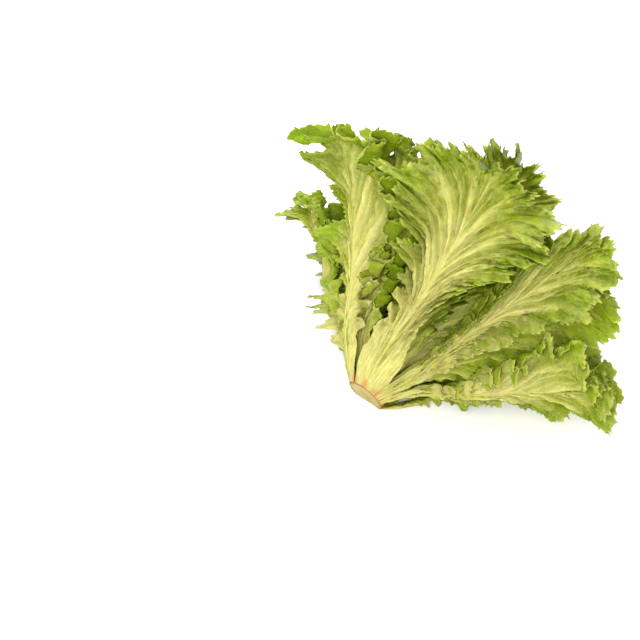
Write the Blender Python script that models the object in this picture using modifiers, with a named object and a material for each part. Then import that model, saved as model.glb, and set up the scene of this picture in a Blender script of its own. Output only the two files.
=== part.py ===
"""A head of green leaf lettuce, lying on its side with its leaves fanned out. Metres, +Z up.

The head lies along +Y, with its cut stem at the low end and its leaf tips at the high end. Every leaf is
a sheet that runs out from one point, the apex, which lies a little behind the cut. A place in the head is
given by its distance from the apex, by its share of the way round the head (0 at the top, rising towards
+X) and by its layer (0 on the axis, 1 in the outermost whorl). Whorls have layers of their own and leaves
of one whorl have shares of their own, so that no two leaves can cross, however much they are ruffled.
"""

import math
from typing import NamedTuple

import bmesh
import bpy
import numpy as np

# The head as a whole. The apex is placed so that the middle of the head's base is the origin.
APEX = (-0.01458, -0.1332, 0.0115)
APEX_TO_CUT = 0.022
TILT = math.radians(15)
BASE_ANGLE = math.radians(41)
TOP_ANGLE = math.radians(25)
LEFT_ANGLE = math.radians(51)
RIGHT_ANGLE = math.radians(60)
ROUND_UNTIL = 0.040
OPEN_FROM = 0.130
SHARE_MEASURED_AT = 0.20

# Leaves that reach the table bend along it. The lowest of them is pressed flat on it.
TABLE = -APEX[2]
PRESSED = 0.0012
BEND_SOFTNESS = 0.0022

# The outline of a leaf, as shares of its half width and of its length
BASE_WIDTH = 0.98
WAIST_WIDTH = 0.54
WAIST_AT = 0.38
SHOULDER_AT = 0.80
TIP_ROUNDNESS = 2.6
FLAT_HALF_WIDTH = 0.35
FLAT_BASE_WIDTH = 0.12
STALK_SHARE = 0.40

# Veins run from the midrib to the margin. They leave it steeply and bend outwards.
SPINE_TOP = 0.80
SPINE_CROWDING = 1.2
VEIN_REACH = 0.55
VEIN_SPREAD = 0.30

# The blade: its thickness, its midrib, and its rows of points from the midrib out to the margin
RIB_THICKNESS = 0.0025
EDGE_THICKNESS = 0.0009
RIB_HEIGHT = 0.0018
RIB_REACH = 0.42
THICK_REACH = 0.75
COLUMNS = 16
ROWS = (0.0, 0.42, 0.74, 1.0)
ROW_CUTS = (0, 1, 3, 3)

# Ruffles: waves in the whole margin and their height in layers
FOLDS, FOLD_HEIGHT = 6.0, 0.040
FRILLS, FRILL_HEIGHT = 13.0, 0.040
FRILL_LEAN = 0.012
LOBE_DEPTH = 0.050
CUP = 0.045
OUTWARD = 0.075
SEED = 11


class Leaf(NamedTuple):
    """The measures of a leaf. The widths and the bend are shares of the way round the head."""

    share: float
    left: float
    right: float
    length: float
    layer: float = 1.0
    root_layer: float = 1.0
    start: float = 0.029
    bend: float = 0.0
    slim: float = 0.0
    spread: float = 0.0
    flare: float = 0.0
    ruffle: float = 1.0
    phases: tuple = (0.0, 0.0, 0.0, 0.0)


OUTER_LEAVES = {
    "outer_leaf_left": Leaf(-0.212, 0.044, 0.034, 0.200, layer=0.95, flare=0.02),
    "outer_leaf_upper_left": Leaf(-0.138, 0.010, 0.068, 0.240, bend=0.010, slim=-0.5, flare=0.11,
                                  ruffle=1.6),
    "outer_leaf_top": Leaf(0.010, 0.068, 0.070, 0.240, layer=1.10, slim=0.18, flare=0.14, ruffle=1.8),
    "outer_leaf_upper_right": Leaf(0.112, 0.030, 0.038, 0.250, layer=0.94, flare=0.04),
    "outer_leaf_right": Leaf(0.208, 0.048, 0.016, 0.210, bend=0.026, spread=0.45, ruffle=1.2),
    "outer_leaf_lower_right": Leaf(0.424, 0.024, 0.032, 0.166, ruffle=0.8),
    "outer_leaf_bottom": Leaf(0.518, 0.060, 0.060, 0.195, layer=1.06, ruffle=0.8),
    "outer_leaf_lower_left": Leaf(-0.345, 0.060, 0.060, 0.196, ruffle=0.8),
}
# Inner whorls: layer, distance of the leaf bases from the apex, turn of the whorl, leaf lengths
INNER_WHORLS = {
    "second_leaf": (0.76, 0.037, 0.011, (0.248, 0.228, 0.206, 0.204, 0.214, 0.214, 0.232)),
    "third_leaf": (0.56, 0.046, 0.01, (0.214, 0.200, 0.210, 0.202, 0.208)),
    "fourth_leaf": (0.36, 0.055, 0.09, (0.176, 0.186, 0.172)),
    "heart_leaf": (0.17, 0.064, 0.02, (0.140, 0.148)),
}
LEAF_FILL = 0.92
INNER_SLIM = -0.40

# The stem, a blunt cone under the leaf bases
STEM_CLEARANCE = 0.0032
STEM_TIP = 0.012
STEM_TIP_LAYER = 0.04
STEM_SEGMENTS = 32

LEAF_GREEN = (0.30, 0.47, 0.05, 1.0)
HEART_GREEN = (0.52, 0.62, 0.14, 1.0)
STEM_CREAM = (0.74, 0.70, 0.36, 1.0)


def smooth(value, low, high):
    """0 below low, 1 above high and a smooth rise between them."""
    t = np.clip((value - low) / (high - low), 0.0, 1.0)
    return t * t * (3 - 2 * t)


def opening(theta, distance):
    """Polar angle of the outermost layer at clock angle theta, which is 0 at the top of the head."""
    spread = smooth(distance, ROUND_UNTIL, OPEN_FROM)
    top = BASE_ANGLE + (TOP_ANGLE - BASE_ANGLE) * spread
    side = BASE_ANGLE + (np.where(np.sin(theta) > 0, RIGHT_ANGLE, LEFT_ANGLE) - BASE_ANGLE) * spread
    oval = 1 / np.hypot(np.cos(theta) / top, np.sin(theta) / side)
    sink = np.clip((TABLE - PRESSED) / distance, -1, 1)
    along, across = math.sin(TILT), np.cos(theta) * math.cos(TILT)
    table = np.arctan2(across, along) + np.arccos(np.clip(sink / np.hypot(along, across), -1, 1))
    return (oval**-6 + table**-6) ** (-1 / 6)


def clock_table():
    """Shares of the way round and the clock angles that they stand for, by arc length in the open head."""
    theta = np.linspace(-math.pi, math.pi, 721)
    polar = opening(theta, SHARE_MEASURED_AT)
    steps = np.hypot(np.sin(polar[1:]) * np.diff(theta), np.diff(polar))
    length = np.concatenate([[0], np.cumsum(steps)])
    shares = length / length[-1]
    return shares - np.interp(0.0, theta, shares), theta


CLOCK_SHARES, CLOCK_ANGLES = clock_table()


def head_point(distance, share, layer, outward=0.0):
    """Places, seen from the apex, of points at a distance and share, a height outward of a layer."""
    theta = np.interp((share - CLOCK_SHARES[0]) % 1 + CLOCK_SHARES[0], CLOCK_SHARES, CLOCK_ANGLES)
    polar = layer * opening(theta, distance) + outward / distance
    ahead, out = distance * np.cos(polar), distance * np.sin(polar)
    side, rise = out * np.sin(theta), out * np.cos(theta)
    y = ahead * math.cos(TILT) - rise * math.sin(TILT)
    z = ahead * math.sin(TILT) + rise * math.cos(TILT)
    above = BEND_SOFTNESS * np.logaddexp(0, (z - TABLE + PRESSED) / BEND_SOFTNESS) - PRESSED
    return np.stack([side, y, TABLE + np.maximum(above, 0)], axis=-1)


def flat_place(a, y):
    """Places in the leaf laid flat, with a length of 1, for shares of half width and length."""
    return FLAT_HALF_WIDTH * a * (FLAT_BASE_WIDTH + (1 - FLAT_BASE_WIDTH) * y), y


def outline_table():
    """The outline from tip to base: shares of the margin's length, of the half width and of the length."""
    y = 1 - np.linspace(0, 1, 400) ** 3
    waist = WAIST_WIDTH + (BASE_WIDTH - WAIST_WIDTH) * (1 - smooth(y, 0, WAIST_AT))
    body = waist + (1 - WAIST_WIDTH) * smooth(y, WAIST_AT, SHOULDER_AT)
    cap = np.sqrt(1 - np.clip((y - SHOULDER_AT) / (1 - SHOULDER_AT), 0, 1) ** TIP_ROUNDNESS)
    a = body * cap
    # The plain stalk counts for less than the ruffled margin, which needs more points
    weight = STALK_SHARE + (1 - STALK_SHARE) * smooth(y[1:], 0.15, 0.50)
    steps = np.hypot(*(np.diff(side) for side in flat_place(a, y)))
    length = np.concatenate([[0], np.cumsum(weight * steps)])
    return length / length[-1], a, y


MARGIN, MARGIN_A, MARGIN_Y = outline_table()


def blade_place(p, m):
    """Shares of half width and length at p along the margin (-1 to 1, tip 0) and m out from the rib."""
    around = np.abs(p)
    edge_a, edge_y = np.interp(around, MARGIN, MARGIN_A), np.interp(around, MARGIN, MARGIN_Y)
    start_y = SPINE_TOP * (1 - around) ** SPINE_CROWDING
    bend_a, bend_y = VEIN_SPREAD * edge_a, start_y + VEIN_REACH * (edge_y - start_y)
    a = 2 * m * (1 - m) * bend_a + m**2 * edge_a
    y = (1 - m) ** 2 * start_y + 2 * m * (1 - m) * bend_y + m**2 * edge_y
    return np.sign(p) * a, y


def leaf_surface(p, m, leaf):
    """Places, seen from the apex, of the points p, m of a leaf's outer face."""
    ruffled = smooth(np.interp(np.abs(p), MARGIN, MARGIN_Y), 0.22, 0.62)
    wander = 0.5 * np.sin(3.1 * p + leaf.phases[0]) + 0.3 * np.sin(7.3 * p + leaf.phases[1])
    fold = np.pi * FOLDS * p + leaf.phases[2] + wander
    frill = np.pi * FRILLS * p + leaf.phases[3] + 1.5 * wander
    folded, frilled = ruffled * smooth(m, 0.15, 1.0), ruffled * smooth(m, 0.45, 1.0)
    m = m * (1 + LOBE_DEPTH * frilled * np.cos(frill))
    a, y = blade_place(np.clip(p - FRILL_LEAN * frilled * np.sin(2 * frill), -1, 1), m)
    lift = FOLD_HEIGHT * folded * np.sin(fold) + FRILL_HEIGHT * frilled * np.sin(frill)
    lift = leaf.ruffle * lift + OUTWARD * max(leaf.ruffle - 1, 0) * folded
    cup = CUP * a**2 * smooth(y, 0.05, 0.35) * (1 - smooth(y, 0.55, 0.95))
    layer = leaf.root_layer + (leaf.layer - leaf.root_layer) * smooth(y, 0.05, 0.40)
    layer = layer + leaf.flare * smooth(y, 0.55, 1.0) ** 1.5 - cup + lift
    waist = leaf.slim * smooth(y, 0.05, WAIST_AT) * (1 - smooth(y, 0.45, 0.80))
    width = 1 - waist + leaf.spread * smooth(y, 0.3, 0.8)
    share = leaf.share + leaf.bend * y**3 + np.where(a < 0, leaf.left, leaf.right) * width * a
    rib = RIB_HEIGHT * (1 - smooth(m, 0, RIB_REACH)) * (1 - 0.8 * y) * smooth(y, 0, 0.1)
    return head_point(leaf.start + leaf.length * y, share, layer, rib)


def blade_sheet():
    """The flat blade as a bmesh, with p and m in float layers: a grid that gets finer towards the margin."""
    bm = bmesh.new()
    bmesh.ops.create_grid(bm, x_segments=COLUMNS, y_segments=len(ROWS) - 1, size=1.0)
    for vert in bm.verts:
        vert.co.y = ROWS[round((vert.co.y + 1) / 2 * (len(ROWS) - 1))]
    for height, cuts in zip(ROWS, ROW_CUTS):
        if cuts:
            row = [edge for edge in bm.edges if all(abs(vert.co.y - height) < 1e-5 for vert in edge.verts)]
            bmesh.ops.subdivide_edges(bm, edges=row, cuts=cuts)
    along, out = bm.verts.layers.float.new("p"), bm.verts.layers.float.new("m")
    for vert in bm.verts:
        vert[along], vert[out] = vert.co.x, vert.co.y
        vert.co = (*flat_place(*blade_place(vert.co.x, vert.co.y)), 0)
    # The two halves of the midrib row lie on each other
    bmesh.ops.remove_doubles(bm, verts=bm.verts, dist=1e-5)
    bmesh.ops.triangulate(bm, faces=bm.faces, quad_method="BEAUTY", ngon_method="BEAUTY")
    bmesh.ops.recalc_face_normals(bm, faces=bm.faces)
    if bm.faces[:][0].normal.z < 0:
        bmesh.ops.reverse_faces(bm, faces=bm.faces)
    return bm


def add_object(name, bm, material, head):
    """A smooth-shaded object made from a bmesh, parented to the head."""
    mesh = bpy.data.meshes.new(name)
    bm.to_mesh(mesh)
    bm.free()
    mesh.materials.append(material)
    mesh.shade_smooth()
    obj = bpy.data.objects.new(name, mesh)
    obj.parent = head
    head.users_collection[0].objects.link(obj)
    return obj


def make_leaf(name, leaf, material, head):
    """One leaf: the blade bent to its place in the head, with a thickness that grows towards the rib."""
    bm = blade_sheet()
    along, out = bm.verts.layers.float["p"], bm.verts.layers.float["m"]
    p = np.array([vert[along] for vert in bm.verts])
    m = np.array([vert[out] for vert in bm.verts])
    for vert, place in zip(bm.verts, leaf_surface(p, m, leaf)):
        vert.co = place
    obj = add_object(name, bm, material, head)
    _, y = blade_place(p, m)
    rib_weights = (1 - smooth(m, 0.0, THICK_REACH)) * (1 - THICK_REACH * smooth(y, 0.05, THICK_REACH))
    rib = obj.vertex_groups.new(name="rib")
    for index, weight in enumerate(rib_weights):
        rib.add([index], float(weight), "REPLACE")
    solid = obj.modifiers.new("thickness", "SOLIDIFY")
    solid.thickness = RIB_THICKNESS
    solid.offset = -1
    solid.vertex_group = rib.name
    solid.thickness_vertex_group = EDGE_THICKNESS / RIB_THICKNESS


def make_stem(material, head):
    """The cut stem: a ball drawn out along the axis, with a ring just under the leaf bases of each whorl."""
    rings = [(APEX_TO_CUT / math.cos(BASE_ANGLE), 1.0)]
    rings += [(start, layer) for layer, start, _, _ in INNER_WHORLS.values()]
    rings += [(rings[-1][0] + STEM_TIP, STEM_TIP_LAYER)]
    bm = bmesh.new()
    bmesh.ops.create_uvsphere(bm, u_segments=STEM_SEGMENTS, v_segments=len(rings) + 1, radius=1.0)
    for vert in bm.verts:
        latitude = math.acos(max(-1.0, min(1.0, -vert.co.z)))
        ring = round(latitude / math.pi * (len(rings) + 1)) - 1
        if 0 <= ring < len(rings):
            distance, layer = rings[ring]
            clock = math.atan2(vert.co.x, vert.co.y)
            share = float(np.interp(clock, CLOCK_ANGLES, CLOCK_SHARES))
            inset = STEM_CLEARANCE / distance / float(opening(clock, distance))
            vert.co = head_point(distance, share, max(layer - inset, STEM_TIP_LAYER))
        else:
            vert.co = head_point(APEX_TO_CUT if ring < 0 else rings[-1][0] + STEM_CLEARANCE, 0.0, 0.0)
    if bm.calc_volume(signed=True) < 0:
        bmesh.ops.reverse_faces(bm, faces=bm.faces)
    add_object("stem", bm, material, head)


def make_material(name, colour, roughness):
    material = bpy.data.materials.new(name)
    material.use_nodes = True
    shader = material.node_tree.nodes["Principled BSDF"]
    shader.inputs["Base Color"].default_value = colour
    shader.inputs["Roughness"].default_value = roughness
    shader.inputs["Metallic"].default_value = 0.0
    material.diffuse_color = colour
    return material


def all_leaves():
    """Every leaf by its name, from the outside of the head to its heart."""
    draw = np.random.default_rng(SEED)
    leaves = dict(OUTER_LEAVES)
    for whorl, (layer, start, turn, lengths) in INNER_WHORLS.items():
        half = LEAF_FILL * 0.5 / len(lengths)
        for k, length in enumerate(lengths):
            share = k / len(lengths) + turn
            leaves[f"{whorl}_{k + 1}"] = Leaf(share, half, half, length, layer, layer, start,
                                              slim=INNER_SLIM)
    return {name: leaf._replace(phases=draw.uniform(0, 2 * math.pi, 4)) for name, leaf in leaves.items()}


def main():
    for obj in list(bpy.data.objects):
        bpy.data.objects.remove(obj)
    collection = bpy.data.collections.new("leaf lettuce")
    bpy.context.scene.collection.children.link(collection)
    head = bpy.data.objects.new("head", None)
    head.location = APEX
    collection.objects.link(head)
    leaf_material = make_material("leaf", LEAF_GREEN, 0.45)
    heart_material = make_material("heart leaf", HEART_GREEN, 0.45)
    for name, leaf in all_leaves().items():
        make_leaf(name, leaf, heart_material if leaf.layer < 0.4 else leaf_material, head)
    make_stem(make_material("stem", STEM_CREAM, 0.5), head)


main()
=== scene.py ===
"""The looks of a head of green leaf lettuce that lies on its side: ruffled, veined leaves and a cut stem."""
import math
from typing import NamedTuple

import bpy
import numpy as np
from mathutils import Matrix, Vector


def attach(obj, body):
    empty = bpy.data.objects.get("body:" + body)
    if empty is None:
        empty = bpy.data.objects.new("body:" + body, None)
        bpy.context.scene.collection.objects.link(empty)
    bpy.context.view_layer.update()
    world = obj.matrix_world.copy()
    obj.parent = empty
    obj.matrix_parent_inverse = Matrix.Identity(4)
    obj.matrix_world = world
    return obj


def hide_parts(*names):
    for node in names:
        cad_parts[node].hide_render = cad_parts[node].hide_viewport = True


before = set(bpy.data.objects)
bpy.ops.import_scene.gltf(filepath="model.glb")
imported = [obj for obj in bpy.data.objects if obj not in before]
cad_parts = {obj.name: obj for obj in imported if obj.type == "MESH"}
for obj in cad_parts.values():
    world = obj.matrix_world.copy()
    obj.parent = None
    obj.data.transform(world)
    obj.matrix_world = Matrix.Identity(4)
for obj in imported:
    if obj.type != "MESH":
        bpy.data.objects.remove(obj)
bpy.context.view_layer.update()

# The head as a whole, in metres, as the solids have it. Every leaf runs out from one point, the apex. A
# place is given by its distance from the apex, its share of the way round and its layer.
APEX = (-0.01458, -0.1332, 0.0115)
APEX_TO_CUT = 0.022
TILT = math.radians(15)
BASE_ANGLE = math.radians(41)
TOP_ANGLE = math.radians(25)
LEFT_ANGLE = math.radians(51)
RIGHT_ANGLE = math.radians(60)
ROUND_UNTIL = 0.040
OPEN_FROM = 0.130
SHARE_MEASURED_AT = 0.20
TABLE = -APEX[2]
PRESSED = 0.0012
BEND_SOFTNESS = 0.0022

# The outline of a leaf, as shares of its half width and of its length
BASE_WIDTH = 0.98
WAIST_WIDTH = 0.54
WAIST_AT = 0.38
SHOULDER_AT = 0.80
TIP_ROUNDNESS = 2.6
FLAT_HALF_WIDTH = 0.35
FLAT_BASE_WIDTH = 0.12
STALK_SHARE = 0.40
SPINE_TOP = 0.80
SPINE_CROWDING = 1.2
VEIN_REACH = 0.55
VEIN_SPREAD = 0.30

# Ruffles that the solids have too: waves in the whole margin and their height in layers. The lobes are cut
# a little deeper here than in the solids, and the frills lean less.
RIB_HEIGHT = 0.0018
RIB_REACH = 0.42
FOLDS, FOLD_HEIGHT = 6.0, 0.040
FRILLS, FRILL_HEIGHT = 13.0, 0.040
FRILL_LEAN = 0.007
LOBE_DEPTH = 0.056
CUP = 0.045
OUTWARD = 0.075
SEED = 11

# Finer forms, which only the looks have. Heights, sways and depths are in metres, and a lean is a share of
# half the margin.
FRILL_SWAY = 0.0040
# Curls, which slant on their way out to the margin, and crimps: the waves in the whole margin come first
CURLS, CURL_HEIGHT, CURL_LEAN, CURL_SWAY = 37.0, 0.0078, 0.0056, 0.0042
CURL_TWIST = 5.0
CRIMPS, CRIMP_HEIGHT, CRIMP_SWAY = 83.0, 0.0030, 0.0016
# The rolled rim
RIM_RISE, RIM_FOLD = 0.0150, 0.0080
# A side of a leaf that is narrower than this share of the way round has smaller curls, down to a least size
FULL_SIDE = 0.045
LEAST_CURLS = 0.75
# Teeth: their pitch along the real margin, and the mean height, which leaves the outline where it is
TOOTH_PITCH, TOOTH_DEPTH, TOOTH_RISE = 0.0078, 0.0058, 0.0020
TOOTH_MEAN = 0.35
# Side ribs, from a few strong ones to many fine ones: waves in half the margin, height and sharpness
RIBS = ((6.3, 0.0022, 3.0), (15.7, 0.0014, 2.0), (38.0, 0.0006, 1.5))
RIB_MEAN = 0.35
KEEL_HEIGHT = 0.0012
CREASE_HEIGHT = 0.0022
GROOVE_HEIGHT = 0.0005
SAG_HEIGHT = 0.0026
RIB_THICKNESS = 0.0022
EDGE_THICKNESS = 0.0007
THICK_UNTIL = 0.6
THICK_REACH = 0.75


class Leaf(NamedTuple):
    """The measures of a leaf. The widths and the bend are shares of the way round the head.

    The right side keeps the share calm of its finer waves.
    """

    share: float
    left: float
    right: float
    length: float
    layer: float = 1.0
    root_layer: float = 1.0
    start: float = 0.029
    bend: float = 0.0
    slim: float = 0.0
    spread: float = 0.0
    flare: float = 0.0
    ruffle: float = 1.0
    calm: float = 1.0
    phases: tuple = (0.0, 0.0, 0.0, 0.0)


OUTER_LEAVES = {
    "outer_leaf_left": Leaf(-0.212, 0.044, 0.034, 0.200, layer=0.95, flare=0.02),
    "outer_leaf_upper_left": Leaf(-0.138, 0.010, 0.068, 0.240, bend=0.010, slim=-0.5, flare=0.11,
                                  ruffle=1.6),
    "outer_leaf_top": Leaf(0.010, 0.068, 0.070, 0.240, layer=1.10, slim=0.18, flare=0.14, ruffle=1.8),
    "outer_leaf_upper_right": Leaf(0.112, 0.030, 0.038, 0.250, layer=0.94, flare=0.04),
    "outer_leaf_right": Leaf(0.208, 0.048, 0.016, 0.210, bend=0.026, spread=0.45, ruffle=1.2, calm=0.2),
    "outer_leaf_lower_right": Leaf(0.424, 0.024, 0.032, 0.166, ruffle=0.8, calm=0.5),
    "outer_leaf_bottom": Leaf(0.518, 0.060, 0.060, 0.195, layer=1.06, ruffle=0.8),
    "outer_leaf_lower_left": Leaf(-0.345, 0.060, 0.060, 0.196, ruffle=0.8),
}
# Inner whorls: layer, distance of the leaf bases from the apex, turn of the whorl, leaf lengths
INNER_WHORLS = {
    "second_leaf": (0.76, 0.037, 0.011, (0.248, 0.228, 0.206, 0.204, 0.214, 0.214, 0.232)),
    "third_leaf": (0.56, 0.046, 0.01, (0.214, 0.200, 0.210, 0.202, 0.208)),
    "fourth_leaf": (0.36, 0.055, 0.09, (0.176, 0.186, 0.172)),
    "heart_leaf": (0.17, 0.064, 0.02, (0.140, 0.148)),
}
LEAF_FILL = 0.92
INNER_SLIM = -0.40
# Layers from which leaves count as outer ones, and below which as heart leaves
OUTER_FROM = 0.9
YOUNG_BELOW = 0.4

# Columns and rows of each leaf's grid: the four outer leaves on top, the outer ones below, and each whorl
SHOWN = ("outer_leaf_upper_left", "outer_leaf_top", "outer_leaf_upper_right", "outer_leaf_right")
GRIDS = {"shown": (200, 30), "outer": (110, 22), "second": (100, 22), "third": (64, 18), "fourth": (48, 16),
         "heart": (48, 14)}
# Shares of the way to the margin past which the columns double, and how the rows crowd towards it
DOUBLED_FROM = (0.30, 0.55, 0.72)
ROW_CROWDING = 1.35
# Steps in half the margin that its real length is measured in, and the shares by which the columns there
# follow that length and their even places
MARGIN_STEPS = 3000
BY_LENGTH, BY_PLACE = 0.85, 0.15
# Points nearer to each other than this are one point
MERGED_WITHIN = 0.00001

# The stem: the rings of its cut, as shares of the way to the rim, its gap to the leaf bases, the distances
# from the apex at which its side starts and ends, and the steps between two whorls
CUT_RINGS = (0.25, 0.5, 0.7, 0.85, 0.94, 1.0)
STEM_CLEARANCE = 0.0016
STEM_START = 0.0291
STEM_END, STEM_END_LAYER = 0.076, 0.04
STEM_TIP = 0.079
STEM_STEPS = 6
STEM_SEGMENTS = 96
LEAST_LAYER = 0.03


def smooth(value, low, high):
    """0 below low, 1 above high and a smooth rise between them."""
    t = np.clip((value - low) / (high - low), 0.0, 1.0)
    return t * t * (3 - 2 * t)


def opening(theta, distance):
    """Polar angle of the outermost layer at clock angle theta, which is 0 at the top of the head."""
    spread = smooth(distance, ROUND_UNTIL, OPEN_FROM)
    top = BASE_ANGLE + (TOP_ANGLE - BASE_ANGLE) * spread
    side = BASE_ANGLE + (np.where(np.sin(theta) > 0, RIGHT_ANGLE, LEFT_ANGLE) - BASE_ANGLE) * spread
    oval = 1 / np.hypot(np.cos(theta) / top, np.sin(theta) / side)
    sink = np.clip((TABLE - PRESSED) / distance, -1, 1)
    along, across = math.sin(TILT), np.cos(theta) * math.cos(TILT)
    table = np.arctan2(across, along) + np.arccos(np.clip(sink / np.hypot(along, across), -1, 1))
    return (oval**-6 + table**-6) ** (-1 / 6)


def clock_table():
    """Shares of the way round and the clock angles that they stand for, by arc length in the open head."""
    theta = np.linspace(-math.pi, math.pi, 721)
    polar = opening(theta, SHARE_MEASURED_AT)
    steps = np.hypot(np.sin(polar[1:]) * np.diff(theta), np.diff(polar))
    length = np.concatenate([[0], np.cumsum(steps)])
    shares = length / length[-1]
    return shares - np.interp(0.0, theta, shares), theta


CLOCK_SHARES, CLOCK_ANGLES = clock_table()


def head_point(distance, share, layer, outward=0.0):
    """Places in the frame of points at a distance and share, a height outward of a layer."""
    theta = np.interp((share - CLOCK_SHARES[0]) % 1 + CLOCK_SHARES[0], CLOCK_SHARES, CLOCK_ANGLES)
    polar = layer * opening(theta, distance) + outward / distance
    ahead, out = distance * np.cos(polar), distance * np.sin(polar)
    side, rise = out * np.sin(theta), out * np.cos(theta)
    y = ahead * math.cos(TILT) - rise * math.sin(TILT)
    z = ahead * math.sin(TILT) + rise * math.cos(TILT)
    above = BEND_SOFTNESS * np.logaddexp(0, (z - TABLE + PRESSED) / BEND_SOFTNESS) - PRESSED
    return np.stack([side, y, TABLE + np.maximum(above, 0)], axis=-1) + np.array(APEX)


def flat_place(a, y):
    """Places in the leaf laid flat, with a length of 1, for shares of half width and length."""
    return FLAT_HALF_WIDTH * a * (FLAT_BASE_WIDTH + (1 - FLAT_BASE_WIDTH) * y), y


def outline_table():
    """The outline from tip to base: shares of the margin's length, of the half width and of the length."""
    y = 1 - np.linspace(0, 1, 400) ** 3
    waist = WAIST_WIDTH + (BASE_WIDTH - WAIST_WIDTH) * (1 - smooth(y, 0, WAIST_AT))
    body = waist + (1 - WAIST_WIDTH) * smooth(y, WAIST_AT, SHOULDER_AT)
    cap = np.sqrt(1 - np.clip((y - SHOULDER_AT) / (1 - SHOULDER_AT), 0, 1) ** TIP_ROUNDNESS)
    a = body * cap
    weight = STALK_SHARE + (1 - STALK_SHARE) * smooth(y[1:], 0.15, 0.50)
    steps = np.hypot(*(np.diff(side) for side in flat_place(a, y)))
    length = np.concatenate([[0], np.cumsum(weight * steps)])
    return length / length[-1], a, y


MARGIN, MARGIN_A, MARGIN_Y = outline_table()


def blade_place(p, m):
    """Shares of half width and length at p along the margin (-1 to 1, tip 0) and m out from the rib."""
    around = np.abs(p)
    edge_a, edge_y = np.interp(around, MARGIN, MARGIN_A), np.interp(around, MARGIN, MARGIN_Y)
    start_y = SPINE_TOP * (1 - around) ** SPINE_CROWDING
    bend_a, bend_y = VEIN_SPREAD * edge_a, start_y + VEIN_REACH * (edge_y - start_y)
    a = 2 * m * (1 - m) * bend_a + m**2 * edge_a
    y = (1 - m) ** 2 * start_y + 2 * m * (1 - m) * bend_y + m**2 * edge_y
    return np.sign(p) * a, y


def ripples(u, v, wavelengths, draw, waves=9):
    """A smooth uneven height between about -1 and 1: plane waves in random directions, lengths in u and v."""
    height = np.zeros_like(u)
    for _ in range(waves):
        turn = draw.uniform(0, math.pi)
        length = draw.uniform(*wavelengths)
        start = draw.uniform(0, 6.28)
        height += np.sin(2 * math.pi * (u * math.cos(turn) + v * math.sin(turn)) / length + start)
    return height / math.sqrt(waves)


def teeth(travel, draw):
    """Pointed teeth along the margin, of uneven widths and heights: 0 in a notch, up to 1 at a point."""
    count = int(travel.max() / TOOTH_PITCH) + 3
    notches = TOOTH_PITCH * (np.arange(count) - 1 + draw.uniform(-0.3, 0.3, count))
    heights = draw.uniform(0.1, 1.0, count)
    index = np.clip(np.searchsorted(notches, travel), 1, count - 1)
    place = (travel - notches[index - 1]) / (notches[index] - notches[index - 1])
    return heights[index] * np.clip(1 - np.abs(2 * place - 1), 0, 1) ** 1.2


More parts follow.
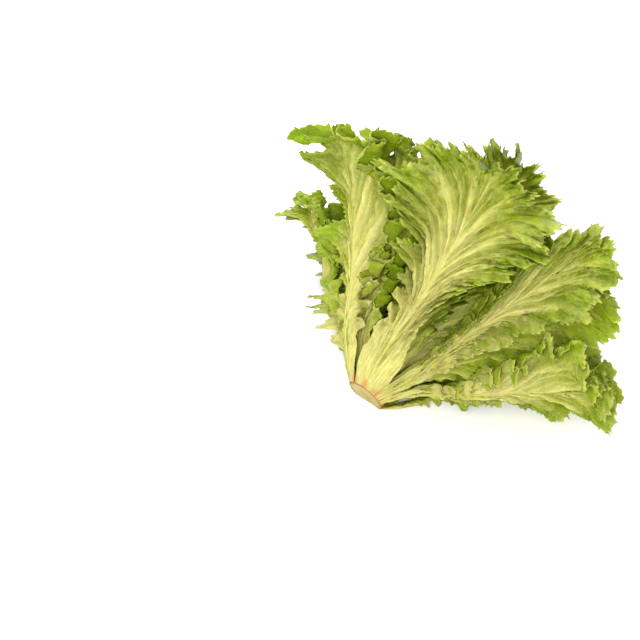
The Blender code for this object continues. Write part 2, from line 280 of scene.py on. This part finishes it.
def leaf_surface(p, m, leaf, draw, travel=None):
    """Places of a leaf's outer face, its zones for the materials, and its places when laid flat.

    The margin has teeth where its real length up to each point, the travel, is given.
    """
    edge_y = np.interp(np.abs(p), MARGIN, MARGIN_Y)
    half = np.where(p < 0, leaf.left, leaf.right)
    room = np.clip(half / FULL_SIDE, LEAST_CURLS, 1.0) * np.where(p < 0, 1, leaf.calm)
    ruffled = smooth(edge_y, 0.22, 0.62)
    wander = 0.5 * np.sin(3.1 * p + leaf.phases[0]) + 0.3 * np.sin(7.3 * p + leaf.phases[1])
    fold = np.pi * FOLDS * p + leaf.phases[2] + wander
    frill = np.pi * FRILLS * p + leaf.phases[3] + 1.5 * wander
    twist = CURL_TWIST * (m - 0.6) * np.sin(0.5 * frill + leaf.phases[1])
    curl = np.pi * CURLS * p + 3.0 * wander + 1.2 * np.sin(9.1 * p + leaf.phases[1]) + twist
    crimp = np.pi * CRIMPS * p + 5.0 * wander + 1.5 * np.sin(17.3 * p + leaf.phases[0]) - 1.5 * twist
    folded, frilled = ruffled * smooth(m, 0.15, 1.0), ruffled * smooth(m, 0.45, 1.0)
    grown = room * smooth(edge_y, 0.10, 0.40)
    curled, crimped = grown * smooth(m, 0.58, 1.0), grown * smooth(m, 0.74, 1.0)
    toothed = smooth(edge_y, 0.08, 0.40) * smooth(m, 0.86, 1.0)
    uneven = 0.8 + 0.4 * np.sin(5.3 * p + leaf.phases[2]) * np.sin(2.9 * p + leaf.phases[0])
    lively = 0.5 + 0.5 * leaf.ruffle
    tooth = TOOTH_MEAN if travel is None else teeth(travel, draw)
    rim = grown * smooth(m, 0.68, 1.0) * (0.75 + 0.45 * np.sin(4.7 * p + leaf.phases[3]))

    # How far each point moves towards the margin, in metres and then as a share of its way there
    swayed = FRILL_SWAY * room * smooth(edge_y, 0.15, 0.5) * smooth(m, 0.55, 1.0)
    outlying = -RIM_FOLD * rim + TOOTH_DEPTH * toothed * (tooth - TOOTH_MEAN)
    outlying = outlying + swayed * np.sin(1.5 * frill + 1.0)
    outlying = outlying + CURL_SWAY * uneven * curled * np.sin(curl + 1.4)
    outlying = outlying + CRIMP_SWAY * crimped * np.sin(crimp + 1.3)
    edge_a = np.interp(np.abs(p), MARGIN, MARGIN_A)
    vein_side = 2 * (1 - VEIN_SPREAD) * edge_a * FLAT_HALF_WIDTH
    vein_up = 2 * (1 - VEIN_REACH) * (edge_y - SPINE_TOP * (1 - np.abs(p)) ** SPINE_CROWDING)
    vein_length = leaf.length * np.maximum(np.hypot(vein_side, vein_up), 0.10)
    reach = 1 + LOBE_DEPTH * frilled * np.cos(frill) + outlying / vein_length
    lean = FRILL_LEAN * frilled * np.sin(2 * frill) + CURL_LEAN * lively * curled * np.sin(2 * curl)
    a, y = blade_place(np.clip(p - lean, -1, 1), m * reach)

    # The layer and the share of the way round that the point lies at
    lift = FOLD_HEIGHT * folded * np.sin(fold) + FRILL_HEIGHT * frilled * np.sin(frill)
    lift = leaf.ruffle * lift + OUTWARD * max(leaf.ruffle - 1, 0) * folded
    cup = CUP * a**2 * smooth(y, 0.05, 0.35) * (1 - smooth(y, 0.55, 0.95))
    layer = leaf.root_layer + (leaf.layer - leaf.root_layer) * smooth(y, 0.05, 0.40)
    layer = layer + leaf.flare * smooth(y, 0.55, 1.0) ** 1.5 - cup + lift
    waist = leaf.slim * smooth(y, 0.05, WAIST_AT) * (1 - smooth(y, 0.45, 0.80))
    width = 1 - waist + leaf.spread * smooth(y, 0.3, 0.8)
    share = leaf.share + leaf.bend * y**3 + np.where(a < 0, leaf.left, leaf.right) * width * a

    # Ribs run out from the midrib to the margin, a few strong ones and many fine ones, unevenly
    drift = 1.4 * np.sin(4.1 * p + 2.3 * m + leaf.phases[1])
    drift = drift + 0.8 * np.sin(9.7 * p - 3.7 * m + leaf.phases[2])
    ridges = [(0.5 + 0.5 * np.cos(2 * np.pi * count * p + drift * (1 + 0.5 * k) + leaf.phases[k])) ** power
              for k, (count, _, power) in enumerate(RIBS)]
    along = smooth(m, 0.02, 0.20) * smooth(y, 0.01, 0.12)
    fade = (1 - 0.7 * smooth(m, 0.60, 0.95), 1 - 0.8 * smooth(m, 0.45, 0.85), 1.0)
    ribbed = sum(height * (ridge - RIB_MEAN) * out
                 for (_, height, _), ridge, out in zip(RIBS, ridges, fade)) * along

    # Creases between them, and wide hollows
    flat_x, flat_y = (leaf.length * side for side in flat_place(a, y))
    crease = ripples(0.22 * p, 0.035 * m, (0.0045, 0.013), draw, waves=12)
    pucker = ripples(flat_x, flat_y, (0.006, 0.014), draw)
    sag = ripples(flat_x, flat_y, (0.035, 0.080), draw, waves=5)
    rib = RIB_HEIGHT * (1 - smooth(m, 0, RIB_REACH)) * (1 - 0.8 * y) * smooth(y, 0, 0.1)
    keel = KEEL_HEIGHT * (1 - smooth(m, 0.0, 0.10)) * (1 - 0.5 * y) * smooth(y, 0.02, 0.2)
    crumpled = 0.6 * np.abs(crease) + (0.3 + 0.9 * smooth(m, 0.35, 0.8)) * np.abs(pucker) - 0.45
    crumpled = crumpled * smooth(y, 0.08, 0.40) * smooth(m, 0.04, 0.25)
    grooves = np.sin(2 * np.pi * 6.5 * a + leaf.phases[0])
    grooves = grooves + 0.6 * np.sin(2 * np.pi * 11.3 * a + leaf.phases[1])
    grooved = GROOVE_HEIGHT * grooves * smooth(y, 0.01, 0.08) * (1 - smooth(y, 0.25, 0.60))
    outward = rib + keel + ribbed + grooved - CREASE_HEIGHT * crumpled
    outward = outward + SAG_HEIGHT * sag * smooth(y, 0.2, 0.6) * smooth(m, 0.1, 0.5)
    outward = outward + CURL_HEIGHT * lively * uneven * curled * np.sin(curl)
    outward = outward + CRIMP_HEIGHT * crimped * np.sin(crimp)
    outward = outward + RIM_RISE * rim + TOOTH_RISE * toothed * tooth
    places = head_point(leaf.start + leaf.length * y, share, layer, outward)

    # What the materials read: pale thick tissue, the margin, the relief of raised veins and furrows, which
    # paints shade into the furrows, and the browned base
    stalk_fades = (0.28, 1.0) if leaf.layer > OUTER_FROM else (0.10, 0.65)
    stalk = 1 - smooth(y + 0.25 * smooth(m, 0.3, 1.0), *stalk_fades)
    midrib = (1 - smooth(m, 0.03, 0.16)) * (1 - 0.4 * smooth(y, 0.5, 0.8))
    veined = np.maximum(ridges[0] ** 1.5, 0.6 * ridges[1] ** 2) * (1 - 0.5 * smooth(m, 0.3, 1.0))
    veined = np.maximum(veined, 0.5 * ridges[2] ** 4 * smooth(m, 0.45, 0.75))
    pale = np.clip(np.maximum(stalk, midrib) + 0.6 * veined, 0, 1)
    edge = (0.8 * smooth(m, 0.60, 0.95) + 0.2 * smooth(m, 0.955, 0.985)) * smooth(edge_y, 0.10, 0.45)
    # How high the relief stands, which the materials turn into painted shade in the furrows
    raised = np.clip(0.55 + 150 * (ribbed + grooved - CREASE_HEIGHT * crumpled), 0, 1)
    aged = (1 - smooth(y, 0.0, 0.05)) * (0.5 + 0.5 * np.sin(7.7 * a + leaf.phases[2]))
    return places, np.stack([pale, edge, raised, 1 - aged], axis=-1), (flat_x, flat_y)


def margin_travel(leaf, seed):
    """Places p along the margin, from base to base, and its real length, with all its waves, up to each."""
    p = np.linspace(-1, 1, 2 * MARGIN_STEPS + 1)
    places, _, _ = leaf_surface(p, np.ones_like(p), leaf, np.random.default_rng(seed))
    steps = np.linalg.norm(np.diff(places, axis=0), axis=1)
    return p, np.concatenate([[0], np.cumsum(steps)])


def spread_columns(x, m, margin_p, travel):
    """Places p for the columns x of a grid: even at the midrib, and by the real length at the margin."""
    spread = np.zeros_like(x)
    for side in (-1, 1):
        half = slice(MARGIN_STEPS, None) if side > 0 else slice(MARGIN_STEPS, None, -1)
        around, length = np.abs(margin_p[half]), np.abs(travel[half] - travel[MARGIN_STEPS])
        share = BY_LENGTH * length / length[-1] + BY_PLACE * around
        spread = np.where(x * side > 0, side * np.interp(np.abs(x), share, around), spread)
    return x + (spread - x) * smooth(m, 0.0, 0.6)


def all_leaves():
    """Every leaf by its name, from the outside of the head to its heart."""
    draw = np.random.default_rng(SEED)
    leaves = dict(OUTER_LEAVES)
    for whorl, (layer, start, turn, lengths) in INNER_WHORLS.items():
        half = LEAF_FILL * 0.5 / len(lengths)
        for k, length in enumerate(lengths):
            share = k / len(lengths) + turn
            leaves[f"{whorl}_{k + 1}"] = Leaf(share, half, half, length, layer, layer, start, slim=INNER_SLIM)
    return {name: leaf._replace(phases=draw.uniform(0, 2 * math.pi, 4)) for name, leaf in leaves.items()}


def linear(code):
    """An sRGB hex colour as the linear RGBA that the shaders take."""
    parts = [int(code[i:i + 2], 16) / 255 for i in (1, 3, 5)]
    return (*(c / 12.92 if c <= 0.04045 else ((c + 0.055) / 1.055) ** 2.4 for c in parts), 1.0)


def add(tree, kind, inputs=None, **settings):
    """A new node with its settings. An input takes a value or another node's output."""
    made = tree.nodes.new(kind)
    for name, value in settings.items():
        setattr(made, name, value)
    for socket, value in (inputs or {}).items():
        if isinstance(value, bpy.types.NodeSocket):
            tree.links.new(value, made.inputs[socket])
        else:
            made.inputs[socket].default_value = value
    return made


# Settings of a mix node. Its input 0 is the share, 6 and 7 are the two colours, and output 2 is their mix
BLENDED = {"data_type": "RGBA", "blend_type": "MIX"}
MULTIPLIED = {"data_type": "RGBA", "blend_type": "MULTIPLY"}


def leaf_material(name, stalk, blade, margin, vein, glow, roughness, through):
    """Fresh lettuce leaf: a waxy skin over moist, light-passing tissue, pale where it is thick."""
    material = bpy.data.materials.new(name)
    material.use_nodes = True
    tree = material.node_tree
    tree.nodes.clear()
    zones = add(tree, "ShaderNodeVertexColor", layer_name="zones")
    part = add(tree, "ShaderNodeSeparateColor", {0: zones.outputs[0]})
    pale, edge, raised = part.outputs
    place = add(tree, "ShaderNodeTexCoord").outputs["Object"]
    # Patches of 12 mm and a grain of 1.5 mm
    blotch = add(tree, "ShaderNodeTexNoise",
                 {"Vector": place, "Scale": 80.0, "Detail": 4.0, "Roughness": 0.6})
    fine = add(tree, "ShaderNodeTexNoise", {"Vector": place, "Scale": 700.0, "Detail": 3.0})
    # Streaks of 1 mm that run along the stalk. The map is in centimetres on the leaf laid flat
    flat = add(tree, "ShaderNodeUVMap", uv_map="flat").outputs[0]
    along = add(tree, "ShaderNodeMapping", {"Vector": flat, "Scale": (9.0, 0.45, 1.0)})
    streak = add(tree, "ShaderNodeTexNoise", {"Vector": along.outputs[0], "Scale": 1.0, "Detail": 3.0})
    # The net of small veins, with meshes of 4 mm, shifted by up to 6 mm
    bent = add(tree, "ShaderNodeVectorMath", {0: blotch.outputs["Color"], 1: (0.006, 0.006, 0.006)},
               operation="MULTIPLY")
    warped = add(tree, "ShaderNodeVectorMath", {0: place, 1: bent.outputs[0]}, operation="ADD")
    net = add(tree, "ShaderNodeTexVoronoi", {"Vector": warped.outputs[0], "Scale": 240.0},
              feature="DISTANCE_TO_EDGE")
    line = add(tree, "ShaderNodeMapRange", {0: net.outputs["Distance"], 1: 0.0, 2: 0.11, 3: 1.0, 4: 0.0})
    line.interpolation_type = "SMOOTHSTEP"
    wide = add(tree, "ShaderNodeMapRange", {0: net.outputs["Distance"], 1: 0.0, 2: 0.45, 3: 1.0, 4: 0.0})

    # Green blade, deeper at the margin, with a pale rim that is painted light on the thin edges, and pale
    # stalk and veins
    shift = add(tree, "ShaderNodeMath", {0: blotch.outputs["Fac"], 1: -0.5}, operation="ADD")
    uneven = add(tree, "ShaderNodeMath", {0: shift.outputs[0], 1: 0.9, 2: pale}, operation="MULTIPLY_ADD",
                 use_clamp=True)
    inner = add(tree, "ShaderNodeMapRange", {0: edge, 1: 0.0, 2: 0.8, 3: 0.0, 4: 1.0})
    green = add(tree, "ShaderNodeMix", {0: inner.outputs[0], 6: linear(blade), 7: linear(margin)}, **BLENDED)
    # Painted highlight: the outermost margin turns pale, as lit thin edges look
    rim = add(tree, "ShaderNodeMapRange", {0: edge, 1: 0.82, 2: 1.0, 3: 0.0, 4: 0.6})
    green = add(tree, "ShaderNodeMix", {0: rim.outputs[0], 6: green.outputs[2], 7: linear(vein)}, **BLENDED)
    colour = add(tree, "ShaderNodeMix", {0: uneven.outputs[0], 6: green.outputs[2], 7: linear(stalk)},
                 **BLENDED)
    shown = add(tree, "ShaderNodeMath", {0: line.outputs[0], 1: 0.32}, operation="MULTIPLY")
    colour = add(tree, "ShaderNodeMix", {0: shown.outputs[0], 6: colour.outputs[2], 7: linear(vein)},
                 **BLENDED)
    grain = add(tree, "ShaderNodeMapRange", {0: fine.outputs["Fac"], 1: 0.3, 2: 0.7, 3: 0.86, 4: 1.08})
    colour = add(tree, "ShaderNodeMix", {0: 1.0, 6: colour.outputs[2], 7: grain.outputs[0]}, **MULTIPLIED)
    lines = add(tree, "ShaderNodeMapRange", {0: streak.outputs["Fac"], 1: 0.3, 2: 0.7, 3: 0.84, 4: 1.08})
    lined = add(tree, "ShaderNodeMix", {0: 1.0, 6: colour.outputs[2], 7: lines.outputs[0]}, **MULTIPLIED)
    colour = add(tree, "ShaderNodeMix", {0: uneven.outputs[0], 6: colour.outputs[2], 7: lined.outputs[2]},
                 **BLENDED)
    # Air browns the leaf base beside the cut
    brown = add(tree, "ShaderNodeMath", {0: zones.outputs[1], 1: blotch.outputs["Fac"]}, operation="ADD")
    brown = add(tree, "ShaderNodeMapRange", {0: brown.outputs[0], 1: 0.9, 2: 1.45, 3: 0.75, 4: 0.0})
    colour = add(tree, "ShaderNodeMix", {0: brown.outputs[0], 6: colour.outputs[2], 7: linear("#C08A45")},
                 **BLENDED)
    # Painted shade: darker green in the furrows and creases, and a little painted light on the raised veins
    painted_furrow_shade = add(tree, "ShaderNodeMapRange", {0: raised, 1: 0.2, 2: 0.75, 3: 0.72, 4: 1.08})
    colour = add(tree, "ShaderNodeMix", {0: 1.0, 6: colour.outputs[2], 7: painted_furrow_shade.outputs[0]}, **MULTIPLIED)

    # Relief of veins, grain and streaks, under a thin coat of wax and moisture that follows it
    rise = add(tree, "ShaderNodeMath", {0: wide.outputs[0], 1: 0.6, 2: fine.outputs["Fac"]},
               operation="MULTIPLY_ADD")
    furrow = add(tree, "ShaderNodeMath", {0: streak.outputs["Fac"], 1: pale}, operation="MULTIPLY")
    rise = add(tree, "ShaderNodeMath", {0: furrow.outputs[0], 1: 0.9, 2: rise.outputs[0]},
               operation="MULTIPLY_ADD")
    bump = add(tree, "ShaderNodeBump", {"Height": rise.outputs[0], "Strength": 0.5, "Distance": 0.0007})
    skin = add(tree, "ShaderNodeBsdfPrincipled", {"Base Color": colour.outputs[2], "Roughness": roughness,
                                                  "Normal": bump.outputs[0],
                                                  "Coat Normal": bump.outputs[0]})
    skin.inputs["IOR"].default_value = 1.42
    skin.inputs["Specular IOR Level"].default_value = 0.2
    skin.inputs["Coat Weight"].default_value = 0.20
    skin.inputs["Coat Roughness"].default_value = 0.11
    skin.inputs["Coat IOR"].default_value = 1.42
    lit = add(tree, "ShaderNodeMix", {0: 1.0, 6: colour.outputs[2], 7: linear(glow)}, **MULTIPLIED)
    inside = add(tree, "ShaderNodeBsdfTranslucent", {"Color": lit.outputs[2], "Normal": bump.outputs[0]})
    both = add(tree, "ShaderNodeMixShader", {0: through, 1: skin.outputs[0], 2: inside.outputs[0]})
    add(tree, "ShaderNodeOutputMaterial", {"Surface": both.outputs[0]})
    material.diffuse_color = linear(blade)
    return material


def stem_material():
    """Cut lettuce stem: moist pale flesh, browned by air at the rim of the cut."""
    material = bpy.data.materials.new("cut lettuce stem")
    material.use_nodes = True
    tree = material.node_tree
    tree.nodes.clear()
    place = add(tree, "ShaderNodeTexCoord").outputs["Object"]
    zones = add(tree, "ShaderNodeVertexColor", layer_name="zones")
    part = add(tree, "ShaderNodeSeparateColor", {0: zones.outputs[0]})
    rim = part.outputs[0]
    # Spots of 4 mm
    spots = add(tree, "ShaderNodeTexNoise",
                {"Vector": place, "Scale": 260.0, "Detail": 4.0, "Roughness": 0.65})
    brown = add(tree, "ShaderNodeMath", {0: rim, 1: spots.outputs["Fac"]}, operation="MULTIPLY",
                use_clamp=True)
    brown = add(tree, "ShaderNodeMapRange", {0: brown.outputs[0], 1: 0.14, 2: 0.46, 3: 0.0, 4: 0.9})
    colour = add(tree, "ShaderNodeMix", {0: brown.outputs[0], 6: linear("#98873A"), 7: linear("#8A561A")},
                 **BLENDED)
    grain = add(tree, "ShaderNodeMapRange", {0: spots.outputs["Fac"], 1: 0.3, 2: 0.7, 3: 0.85, 4: 1.05})
    colour = add(tree, "ShaderNodeMix", {0: 1.0, 6: colour.outputs[2], 7: grain.outputs[0]}, **MULTIPLIED)
    bump = add(tree, "ShaderNodeBump", {"Height": spots.outputs["Fac"], "Strength": 0.5, "Distance": 0.0006})
    flesh = add(tree, "ShaderNodeBsdfPrincipled", {"Base Color": colour.outputs[2], "Roughness": 0.38,
                                                   "Normal": bump.outputs[0]})
    flesh.inputs["IOR"].default_value = 1.38
    flesh.inputs["Subsurface Weight"].default_value = 0.15
    flesh.inputs["Subsurface Radius"].default_value = (0.004, 0.003, 0.001)
    add(tree, "ShaderNodeOutputMaterial", {"Surface": flesh.outputs[0]})
    material.diffuse_color = linear("#DCD493")
    return material


def write_attributes(mesh, zones, maps):
    """Gives the mesh its zones as a colour for each point, and its maps as UV layers."""
    layer = mesh.color_attributes.new("zones", "FLOAT_COLOR", "POINT")
    layer.data.foreach_set("color", zones.astype(np.float32).ravel())
    corner = np.zeros(len(mesh.loops), dtype=np.int32)
    mesh.loops.foreach_get("vertex_index", corner)
    for name, (u, v) in maps.items():
        uv = mesh.uv_layers.new(name=name)
        uv.data.foreach_set("uv", np.stack([u, v], axis=-1)[corner].astype(np.float32).ravel())


def graded_grid(name, columns, rows):
    """A grid on a square of 2 whose columns double three times on the way to its upper side."""
    bpy.ops.object.select_all(action="DESELECT")
    bpy.ops.mesh.primitive_grid_add(x_subdivisions=columns, y_subdivisions=rows, size=2, location=(0, 0, 0))
    piece = bpy.context.object
    piece.name = piece.data.name = name
    mesh = piece.data
    while mesh.uv_layers:
        mesh.uv_layers.remove(mesh.uv_layers[0])
    for start in DOUBLED_FROM:
        bpy.ops.object.mode_set(mode="EDIT")
        bpy.ops.mesh.select_mode(type="EDGE")
        bpy.ops.mesh.select_all(action="DESELECT")
        bpy.ops.object.mode_set(mode="OBJECT")
        points = np.zeros(len(mesh.vertices) * 3)
        mesh.vertices.foreach_get("co", points)
        ends = np.zeros(len(mesh.edges) * 2, dtype=np.int32)
        mesh.edges.foreach_get("vertices", ends)
        height = points.reshape(-1, 3)[ends.reshape(-1, 2), 1]
        level = np.abs(height[:, 0] - height[:, 1]) < 1e-5
        mesh.edges.foreach_set("select", level & (height[:, 0] > 2 * start - 1))
        bpy.ops.object.mode_set(mode="EDIT")
        bpy.ops.mesh.subdivide(number_cuts=1, ngon=False)
        bpy.ops.object.mode_set(mode="OBJECT")
    return piece


def grow_leaf(name, leaf, index, materials):
    """One leaf: a fine grid bent to its place, closed along the midrib, and given its thickness."""
    piece = graded_grid(name + "_blade", *GRIDS["shown" if name in SHOWN else name.split("_")[0]])
    mesh = piece.data
    flat = np.zeros(len(mesh.vertices) * 3)
    mesh.vertices.foreach_get("co", flat)
    x, t = np.clip(flat.reshape(-1, 3)[:, 0], -1, 1), (flat.reshape(-1, 3)[:, 1] + 1) / 2
    m = 1 - (1 - np.clip(t, 0, 1)) ** ROW_CROWDING
    margin_p, travel = margin_travel(leaf, 100 + index)
    p = spread_columns(x, m, margin_p, travel)
    places, zones, (flat_x, flat_y) = leaf_surface(p, m, leaf, np.random.default_rng(100 + index),
                                                   np.interp(p, margin_p, travel))
    mesh.vertices.foreach_set("co", places.ravel())
    write_attributes(mesh, zones, {"flat": (100 * flat_x + 40 * index, 100 * flat_y)})
    group = piece.vertex_groups.new(name="rib")
    _, y = blade_place(p, m)
    weights = (1 - smooth(m, 0.0, THICK_UNTIL)) * (1 - THICK_REACH * smooth(y, 0.05, THICK_REACH))
    for level in range(11):
        chosen = np.nonzero(np.round(weights * 10) == level)[0]
        group.add([int(k) for k in chosen], level / 10, "REPLACE")
    bpy.ops.object.mode_set(mode="EDIT")
    bpy.ops.mesh.select_all(action="SELECT")
    bpy.ops.mesh.remove_doubles(threshold=MERGED_WITHIN)
    bpy.ops.object.mode_set(mode="OBJECT")
    for material in materials:
        mesh.materials.append(material)
    wall = piece.modifiers.new("thickness", "SOLIDIFY")
    wall.thickness = RIB_THICKNESS
    wall.offset = -1
    wall.vertex_group = group.name
    wall.thickness_vertex_group = EDGE_THICKNESS / RIB_THICKNESS
    wall.material_offset = 1
    bpy.ops.object.modifier_apply(modifier=wall.name)
    # A fold that is pressed on the table is lifted onto it, both its faces alike, so it keeps its thickness.
    # The second half of the vertices is the inner face, in the order of the outer one.
    count = len(mesh.vertices) // 2
    for outer, inner in zip(mesh.vertices[:count], mesh.vertices[count:]):
        lift = max(-outer.co.z, -inner.co.z, 0.0)
        outer.co.z += lift
        inner.co.z += lift
    bpy.ops.object.shade_smooth()
    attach(piece, "root")
    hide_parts(name)


def cut_stem(material):
    """The cut stem, with a hollowed cut, a worn rim and sides that run under the leaf bases."""
    starts = [(STEM_START, 1.0)] + [(start, layer) for layer, start, _, _ in INNER_WHORLS.values()]
    starts.append((STEM_END, STEM_END_LAYER))
    rows = []
    edge = APEX_TO_CUT / math.cos(BASE_ANGLE)
    rim_layer = 1.0 - STEM_CLEARANCE / edge / BASE_ANGLE
    for share_out in CUT_RINGS:
        polar = share_out * rim_layer * BASE_ANGLE
        rows.append((APEX_TO_CUT / math.cos(polar), share_out * rim_layer, 0.0))
    for (d0, l0), (d1, l1) in zip(starts, starts[1:]):
        for step in np.linspace(0, 1, STEM_STEPS + 1)[1:]:
            rows.append((d0 + (d1 - d0) * step, l0 + (l1 - l0) * step, STEM_CLEARANCE))
    bpy.ops.object.select_all(action="DESELECT")
    bpy.ops.mesh.primitive_uv_sphere_add(segments=STEM_SEGMENTS, ring_count=len(rows) + 1, radius=1,
                                         location=(0, 0, 0))
    piece = bpy.context.object
    piece.name = piece.data.name = "stem_core"
    mesh = piece.data
    zones = np.ones((len(mesh.vertices), 4))
    for vert in mesh.vertices:
        latitude = math.acos(max(-1.0, min(1.0, -vert.co.z)))
        ring = round(latitude / math.pi * (len(rows) + 1)) - 1
        clock = math.atan2(vert.co.x, vert.co.y)
        share = float(np.interp(clock, CLOCK_ANGLES, CLOCK_SHARES))
        if 0 <= ring < len(rows):
            distance, layer, inset = rows[ring]
            layer = max(layer - inset / distance / float(opening(clock, distance)), LEAST_LAYER)
            rough = 0.0002 * math.sin(9 * clock + 3 * ring) + 0.00015 * math.sin(23 * clock)
            vert.co = head_point(distance + rough * (ring < len(CUT_RINGS)), share, layer, rough).tolist()
            zones[vert.index, 0] = smooth(ring, 2.0, 5.0) if ring <= len(CUT_RINGS) else 0.55
        else:
            # The middle of the cut, which is hollowed a little, and the stem's tip
            vert.co = head_point(APEX_TO_CUT + 0.0004 if ring < 0 else STEM_TIP, 0.0, 0.0).tolist()
            zones[vert.index, 0] = 0.0 if ring < 0 else 0.5
    write_attributes(mesh, zones, {})
    mesh.materials.append(material)
    bpy.ops.object.mode_set(mode="EDIT")
    bpy.ops.mesh.select_all(action="SELECT")
    bpy.ops.mesh.flip_normals()
    bpy.ops.object.mode_set(mode="OBJECT")
    bpy.ops.object.shade_smooth()
    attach(piece, "root")
    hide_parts("stem")


# Backs of the outer leaves: dull, yellowish and pale at the stalk
leaf_back = leaf_material("lettuce leaf back", stalk="#CDC674", blade="#8E9C18", margin="#829E06",
                          vein="#C6CC58", glow="#F2F258", roughness=0.30, through=0.25)
# Upper faces of the leaves: greener and glossier
leaf_face = leaf_material("lettuce leaf face", stalk="#BEC44E", blade="#6E8E06", margin="#86A800",
                          vein="#B0C234", glow="#F4F450", roughness=0.26, through=0.32)
# Middle leaves: younger and thinner than the outer ones, and brighter, partly their own paler colour and
# partly painted light against the shade between the outer leaves
middle_back_pale_and_painted_light = leaf_material("lettuce middle leaf back", stalk="#DCD676", blade="#A8B81C", margin="#9AB806",
                            vein="#D2D856", glow="#F6F656", roughness=0.30, through=0.32)
# Young heart leaves: thin, yellow-green and full of light
heart_back = leaf_material("lettuce heart back", stalk="#DEDA7C", blade="#A8B430", margin="#98AE18",
                           vein="#D0D46C", glow="#F4F46C", roughness=0.36, through=0.30)
heart_face = leaf_material("lettuce heart face", stalk="#D2D46A", blade="#92A61A", margin="#8AA810",
                           vein="#C0CC56", glow="#F4F46C", roughness=0.28, through=0.32)

for number, (leaf_name, measures) in enumerate(all_leaves().items()):
    young = measures.layer < YOUNG_BELOW
    finishes = (leaf_back, leaf_face) if measures.layer > OUTER_FROM else (middle_back_pale_and_painted_light, leaf_face)
    finishes = (heart_back, heart_face) if young else finishes
    grow_leaf(leaf_name, measures, number, finishes)
cut_stem(stem_material())

# A plain white table
bpy.ops.object.select_all(action="DESELECT")
bpy.ops.mesh.primitive_plane_add(size=8, location=(0, 0, 0))
table = bpy.context.object
table.name = "table"
paper = bpy.data.materials.new("white table")
paper.use_nodes = True
paper.node_tree.nodes["Principled BSDF"].inputs["Base Color"].default_value = linear("#F6F5F3")
paper.node_tree.nodes["Principled BSDF"].inputs["Roughness"].default_value = 0.9
table.data.materials.append(paper)

# The camera looks down on the head from the side of its cut end. Its scale and the cut's place in the
# picture of 640 x 640 come from the photo.
PIXELS = 640
PIXELS_PER_METRE = 1100
CUT_AT = (367, 394)
CAMERA_TURN, CAMERA_FALL, CAMERA_DISTANCE = math.radians(40), math.radians(50), 1.6
look = Vector((-math.sin(CAMERA_TURN) * math.cos(CAMERA_FALL), math.cos(CAMERA_TURN) * math.cos(CAMERA_FALL),
               -math.sin(CAMERA_FALL)))
rightward = Vector((math.cos(CAMERA_TURN), math.sin(CAMERA_TURN), 0))
upward = rightward.cross(look)
cut = Vector(head_point(APEX_TO_CUT + 0.002, 0.0, 0.0).tolist())
aim = cut + rightward * (PIXELS / 2 - CUT_AT[0]) / PIXELS_PER_METRE
aim = aim + upward * (CUT_AT[1] - PIXELS / 2) / PIXELS_PER_METRE
bpy.ops.object.camera_add(location=aim - look * CAMERA_DISTANCE,
                          rotation=look.to_track_quat("-Z", "Y").to_euler())
camera = bpy.context.object
camera.data.sensor_width = 36
camera.data.lens = 36 * CAMERA_DISTANCE * PIXELS_PER_METRE / PIXELS
bpy.context.scene.camera = camera


def soft_light(name, place, size, power):
    """A square soft box that faces the head."""
    facing = (-Vector(place)).to_track_quat("-Z", "Y").to_euler()
    bpy.ops.object.light_add(type="AREA", location=place, rotation=facing)
    light = bpy.context.object
    light.name = name
    light.data.size = size
    light.data.energy = power


soft_light("key", place=(-0.75, 0.35, 1.25), size=0.70, power=18)
soft_light("fill", place=(0.5, -1.2, 1.1), size=1.2, power=30)
sky = bpy.data.worlds.new("studio")
sky.use_nodes = True
sky.node_tree.nodes["Background"].inputs[0].default_value = (1, 1, 1, 1)
sky.node_tree.nodes["Background"].inputs[1].default_value = 1.0
bpy.context.scene.world = sky
bpy.context.scene.view_settings.view_transform = "Standard"
